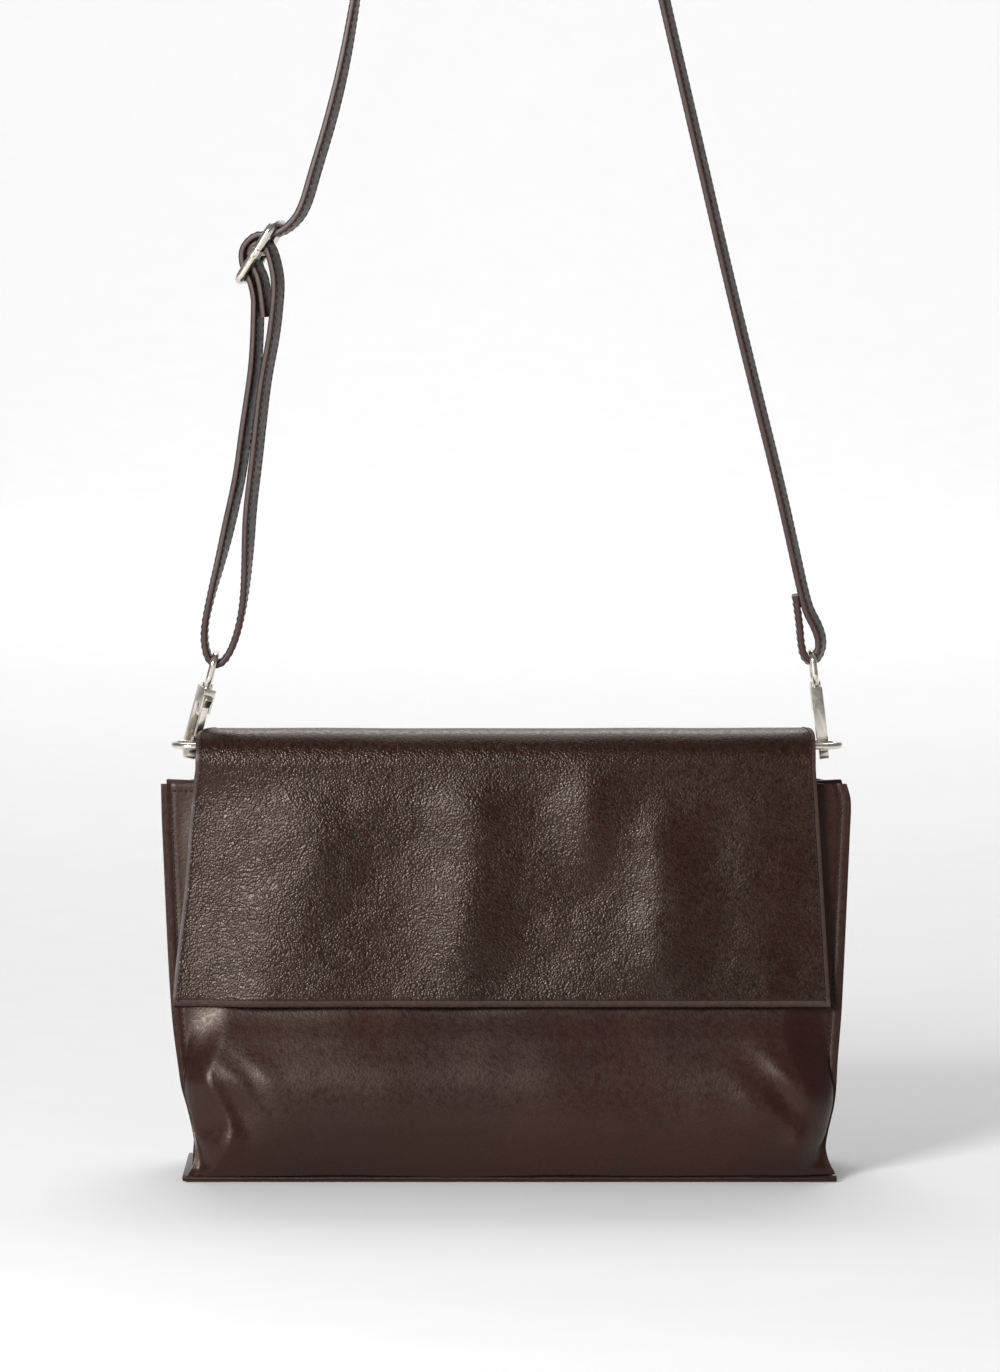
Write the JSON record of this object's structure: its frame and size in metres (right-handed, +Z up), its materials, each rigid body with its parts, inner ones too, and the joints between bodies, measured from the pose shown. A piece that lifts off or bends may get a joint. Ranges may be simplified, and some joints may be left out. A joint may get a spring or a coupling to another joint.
{
  "type": "crossbody purse",
  "caption": "Soft leather pouch purse with a deep fold-over flap, folded sides, D-rings, swivel hooks and a long adjustable flat strap.",
  "frame": {"origin": "on the floor, under the middle of the pouch's base", "axes": "+Z up, -Y out of the front (the flap side), +X to the right as seen from the front"},
  "size_m": [0.3, 0.0718, 0.7393],
  "materials": {
    "leather": "satin",
    "flap_lining_leather": "matte",
    "strap_leather": "satin",
    "lining_cloth": "matte",
    "board": "matte",
    "polished_nickel": "polished",
    "zip_metal": "satin"
  },
  "bodies": {
    "pouch": {"front_panel": "leather", "back_panel": "leather", "base_panel": "leather", "base_board": "board", "base_lining": "lining_cloth", "front_lining": "lining_cloth", "front_hem": "leather", "back_lining": "lining_cloth", "pocket_bag": "lining_cloth", "zip_tape": "lining_cloth", "zip_teeth": "zip_metal", "front_snap": "leather", "gusset_left": "leather", "gusset_lining_left": "lining_cloth", "ring_tab_left": "leather", "gusset_right": "leather", "gusset_lining_right": "lining_cloth", "ring_tab_right": "leather", "base_piping_front": "leather", "base_piping_back": "leather"},
    "flap": {"flap_leather": "leather", "flap_lining": "flap_lining_leather", "flap_snap": "leather"},
    "fold": {"fold_roll": "leather"},
    "strap": {"strap_shoulder": "strap_leather", "strap_upper": "strap_leather", "strap_loop": "strap_leather", "eye_left": "polished_nickel", "eye_right": "polished_nickel"},
    "ring_left": {"d_ring_left": "polished_nickel"},
    "ring_right": {"d_ring_right": "polished_nickel"},
    "hook_left": {"hook_left": "polished_nickel", "gate_pin_left": "polished_nickel", "gate_spring_left": "polished_nickel"},
    "hook_right": {"hook_right": "polished_nickel", "gate_pin_right": "polished_nickel", "gate_spring_right": "polished_nickel"},
    "gate_left": {"gate_left": "polished_nickel"},
    "gate_right": {"gate_right": "polished_nickel"},
    "slider": {"slider_frame": "polished_nickel", "slider_bar": "polished_nickel", "strap_wrap": "strap_leather", "strap_turn_back": "strap_leather"},
    "zip_slider": {"zip_slider": "zip_metal"},
    "zip_puller": {"zip_puller": "zip_metal"}
  },
  "joints": [
    {"name": "flap_open", "type": "hinge", "parent": "pouch", "child": "flap", "pos_m": [0, 0, 0.177], "axis": [-1, 0, 0], "range_deg": [0, 108]},
    {"name": "fold_turn", "type": "hinge", "parent": "pouch", "child": "fold", "pos_m": [0, 0, 0.177], "axis": [-1, 0, 0], "range_deg": [0, 54]},
    {"name": "strap_swing", "type": "hinge", "parent": "pouch", "child": "strap", "pos_m": [0, 0.00765, 0.186], "axis": [-1, 0, 0], "range_deg": [-42, 100]},
    {"name": "ring_left_tip", "type": "hinge", "parent": "pouch", "child": "ring_left", "pos_m": [-0.128, 0, 0.186], "axis": [0, 1, 0], "range_deg": [-5, 5]},
    {"name": "ring_right_tip", "type": "hinge", "parent": "pouch", "child": "ring_right", "pos_m": [0.128, 0, 0.186], "axis": [0, 1, 0], "range_deg": [-5, 5]},
    {"name": "hook_left_swivel", "type": "hinge", "parent": "strap", "child": "hook_left", "pos_m": [-0.1366, 0.00765, 0.186], "axis": [0.2588, 0, 0.9659], "range_deg": [-8, 8]},
    {"name": "gate_left_open", "type": "hinge", "parent": "hook_left", "child": "gate_left", "pos_m": [-0.13085, 0.00243, 0.20206], "axis": [0.933, 0.2588, -0.25], "range_deg": [0, 24], "stiffness_Nm_per_rad": 0.004, "springref_deg": -20.05, "deforming": ["gate_spring_left"]},
    {"name": "hook_right_swivel", "type": "hinge", "parent": "strap", "child": "hook_right", "pos_m": [0.137, 0.00765, 0.186], "axis": [-0.1219, 0, 0.9925], "range_deg": [-8, 8]},
    {"name": "gate_right_open", "type": "hinge", "parent": "hook_right", "child": "gate_right", "pos_m": [0.13493, 0.01305, 0.20287], "axis": [-0.9925, 0, -0.1219], "range_deg": [0, 24], "stiffness_Nm_per_rad": 0.004, "springref_deg": -20.05, "deforming": ["gate_spring_right"]},
    {"name": "slider_adjust", "type": "slide", "parent": "strap", "child": "slider", "axis": [0.12, 0, 0.9928], "range_m": [-0.03, 0.03], "deforming": ["strap_upper", "strap_loop"]},
    {"name": "zip_run", "type": "slide", "parent": "pouch", "child": "zip_slider", "axis": [1, 0, 0], "range_m": [0, 0.128]},
    {"name": "puller_lift", "type": "hinge", "parent": "zip_slider", "child": "zip_puller", "pos_m": [-0.064, 0.00919, 0.13587], "axis": [-1, 0, 0], "range_deg": [0, 70]}
  ],
  "couplings": [
    {"joint": "fold_turn", "follows": "flap_open", "ratio": 0.5}
  ]
}
